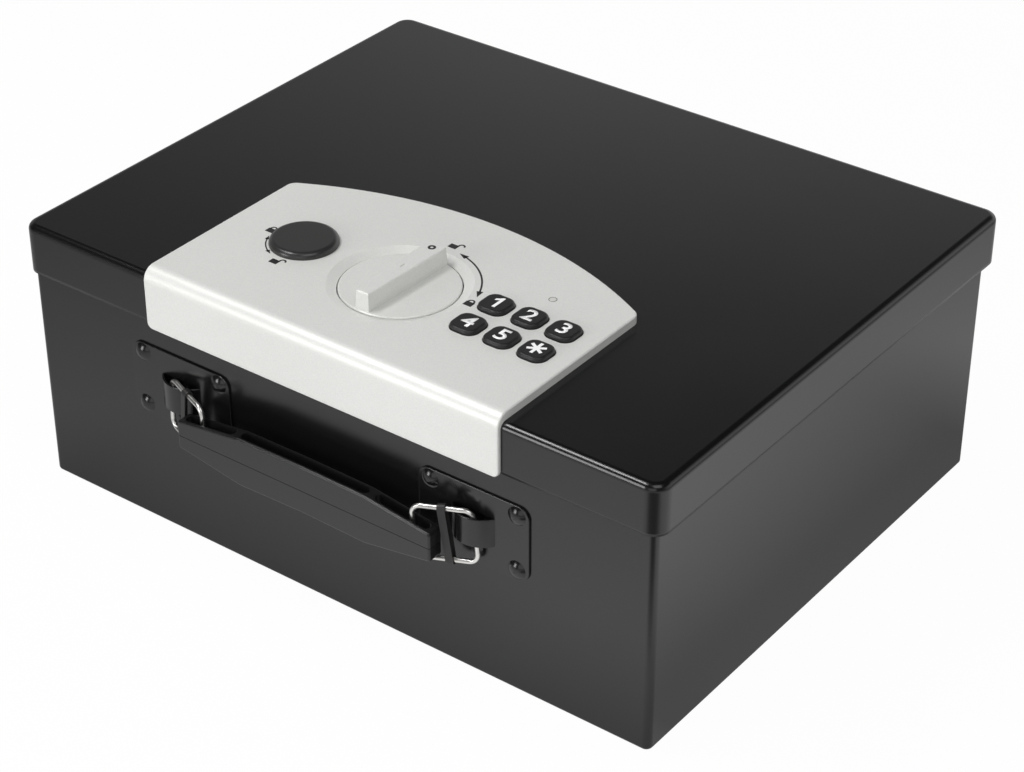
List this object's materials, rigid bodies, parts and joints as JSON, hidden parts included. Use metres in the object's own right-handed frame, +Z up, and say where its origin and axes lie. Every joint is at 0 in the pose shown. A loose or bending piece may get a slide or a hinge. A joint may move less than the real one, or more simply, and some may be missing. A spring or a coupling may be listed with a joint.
{
  "type": "electronic document case",
  "caption": "Black steel document case with an overlapping lid, an electronic lock cover with a turn knob and keypad, and a carrying handle on wire rings.",
  "frame": {"origin": "centre of the underside of the case body", "axes": "+X to the right as seen from the front, +Y towards the hinges at the back, +Z up"},
  "size_m": [0.3356, 0.2787, 0.1405],
  "materials": {
    "case_paint": "fine satin powder coat",
    "lid_paint": "fine satin powder coat",
    "plate_paint": "satin paint",
    "rivet_paint": "semi-gloss paint",
    "zinc_steel": "zinc plated",
    "hinge_paint": "satin paint",
    "bright_steel": "bright",
    "ring_wire": "polished",
    "tie_band": "matt",
    "handle_plastic": "fine satin",
    "cover_plastic": "silver, fine satin",
    "knob_plastic": "silver, fine satin",
    "key_rubber": "satin",
    "dome_rubber": "matt",
    "cap_plastic": "satin",
    "plug_brass": "machined",
    "lens": "clear tinted",
    "circuit_board": "solder mask",
    "housing_plastic": "fine texture",
    "cell_jacket": "printed film",
    "contact_plate": "nickel plated"
  },
  "bodies": {
    "case": {"body_shell": "case_paint", "strike_plate": "zinc_steel", "handle_rivets": "rivet_paint", "handle_plate_left": "plate_paint", "handle_plate_right": "plate_paint", "hinge_left_body_leaf": "hinge_paint", "hinge_right_body_leaf": "hinge_paint", "hinge_left_pin": "bright_steel", "hinge_right_pin": "bright_steel"},
    "lid": {"lid_shell": "lid_paint", "lock_cover": "cover_plastic", "lock_chassis": "zinc_steel", "hinge_left_lid_leaf": "hinge_paint", "hinge_right_lid_leaf": "hinge_paint", "guide_studs": "zinc_steel", "solenoid": "zinc_steel", "plunger_spring": "bright_steel", "override_barrel": "bright_steel", "override_nut": "zinc_steel", "key_domes": "dome_rubber", "key_board": "circuit_board", "board_screws": "bright_steel", "status_light": "lens", "lock_housing": "housing_plastic", "control_board": "circuit_board", "battery_cells": "cell_jacket", "battery_contacts": "contact_plate", "clamp_screws": "bright_steel"},
    "handle": {"handle_upper_half": "handle_plastic", "handle_lower_half": "handle_plastic"},
    "left_ring": {"ring_left": "ring_wire", "ring_tie_left": "tie_band"},
    "right_ring": {"ring_right": "ring_wire", "ring_tie_right": "tie_band"},
    "knob": {"knob": "knob_plastic", "knob_spindle": "zinc_steel", "spiral_cam": "zinc_steel", "cam_screw": "bright_steel"},
    "latch": {"latch_plate": "zinc_steel", "follower_pin": "bright_steel"},
    "override_plug": {"override_plug": "plug_brass"},
    "override_cap": {"override_cap": "cap_plastic"},
    "plunger": {"solenoid_plunger": "bright_steel"},
    "battery_door": {"battery_door": "housing_plastic"},
    "key_1": {"key_1": "key_rubber"},
    "key_2": {"key_2": "key_rubber"},
    "key_3": {"key_3": "key_rubber"},
    "key_4": {"key_4": "key_rubber"},
    "key_5": {"key_5": "key_rubber"},
    "key_star": {"key_star": "key_rubber"}
  },
  "joints": [
    {"name": "lid_hinge", "type": "hinge", "parent": "case", "child": "lid", "pos_m": [0, 0.1308, 0.1069], "axis": [-1, 0, 0], "range_deg": [0, 95]},
    {"name": "handle_slide", "type": "slide", "parent": "case", "child": "handle", "axis": [0, -1, 0], "range_m": [0, 0.009]},
    {"name": "right_ring_swing", "type": "hinge", "parent": "case", "child": "right_ring", "pos_m": [0.0822, -0.1316, 0.0716], "axis": [0, 0, 1], "range_deg": [0, 23]},
    {"name": "left_ring_swing", "type": "hinge", "parent": "case", "child": "left_ring", "pos_m": [-0.0822, -0.1316, 0.0716], "axis": [0, 0, -1], "range_deg": [0, 23]},
    {"name": "knob_turn", "type": "hinge", "parent": "lid", "child": "knob", "pos_m": [0, -0.076, 0.13], "axis": [0, 0, -1], "range_deg": [0, 90]},
    {"name": "latch_slide", "type": "slide", "parent": "lid", "child": "latch", "axis": [0, -1, 0], "range_m": [0, 0.0081]},
    {"name": "override_plug_turn", "type": "hinge", "parent": "lid", "child": "override_plug", "pos_m": [-0.0533, -0.0748, 0.125], "axis": [0, 0, 1], "range_deg": [0, 90]},
    {"name": "override_cap_lift", "type": "slide", "parent": "lid", "child": "override_cap", "axis": [0, 0, 1], "range_m": [0, 0.012]},
    {"name": "plunger_travel", "type": "slide", "parent": "lid", "child": "plunger", "axis": [0, 0, -1], "range_m": [0, 0.003], "stiffness_N_per_m": 40, "springref_m": -0.003, "deforming": ["plunger_spring"]},
    {"name": "battery_door_pull", "type": "slide", "parent": "lid", "child": "battery_door", "axis": [0, 0, -1], "range_m": [0, 0.01]},
    {"name": "key_1_press", "type": "slide", "parent": "lid", "child": "key_1", "axis": [0, 0, -1], "range_m": [0, 0.001], "stiffness_N_per_m": 800, "springref_m": -0.0005},
    {"name": "key_2_press", "type": "slide", "parent": "lid", "child": "key_2", "axis": [0, 0, -1], "range_m": [0, 0.001], "stiffness_N_per_m": 800, "springref_m": -0.0005},
    {"name": "key_3_press", "type": "slide", "parent": "lid", "child": "key_3", "axis": [0, 0, -1], "range_m": [0, 0.001], "stiffness_N_per_m": 800, "springref_m": -0.0005},
    {"name": "key_4_press", "type": "slide", "parent": "lid", "child": "key_4", "axis": [0, 0, -1], "range_m": [0, 0.001], "stiffness_N_per_m": 800, "springref_m": -0.0005},
    {"name": "key_5_press", "type": "slide", "parent": "lid", "child": "key_5", "axis": [0, 0, -1], "range_m": [0, 0.001], "stiffness_N_per_m": 800, "springref_m": -0.0005},
    {"name": "key_star_press", "type": "slide", "parent": "lid", "child": "key_star", "axis": [0, 0, -1], "range_m": [0, 0.001], "stiffness_N_per_m": 800, "springref_m": -0.0005}
  ],
  "couplings": [
    {"joint": "right_ring_swing", "follows": "handle_slide", "rad_per_m": 44},
    {"joint": "left_ring_swing", "follows": "handle_slide", "rad_per_m": 44},
    {"joint": "latch_slide", "follows": "knob_turn", "m_per_rad": 0.005093}
  ]
}
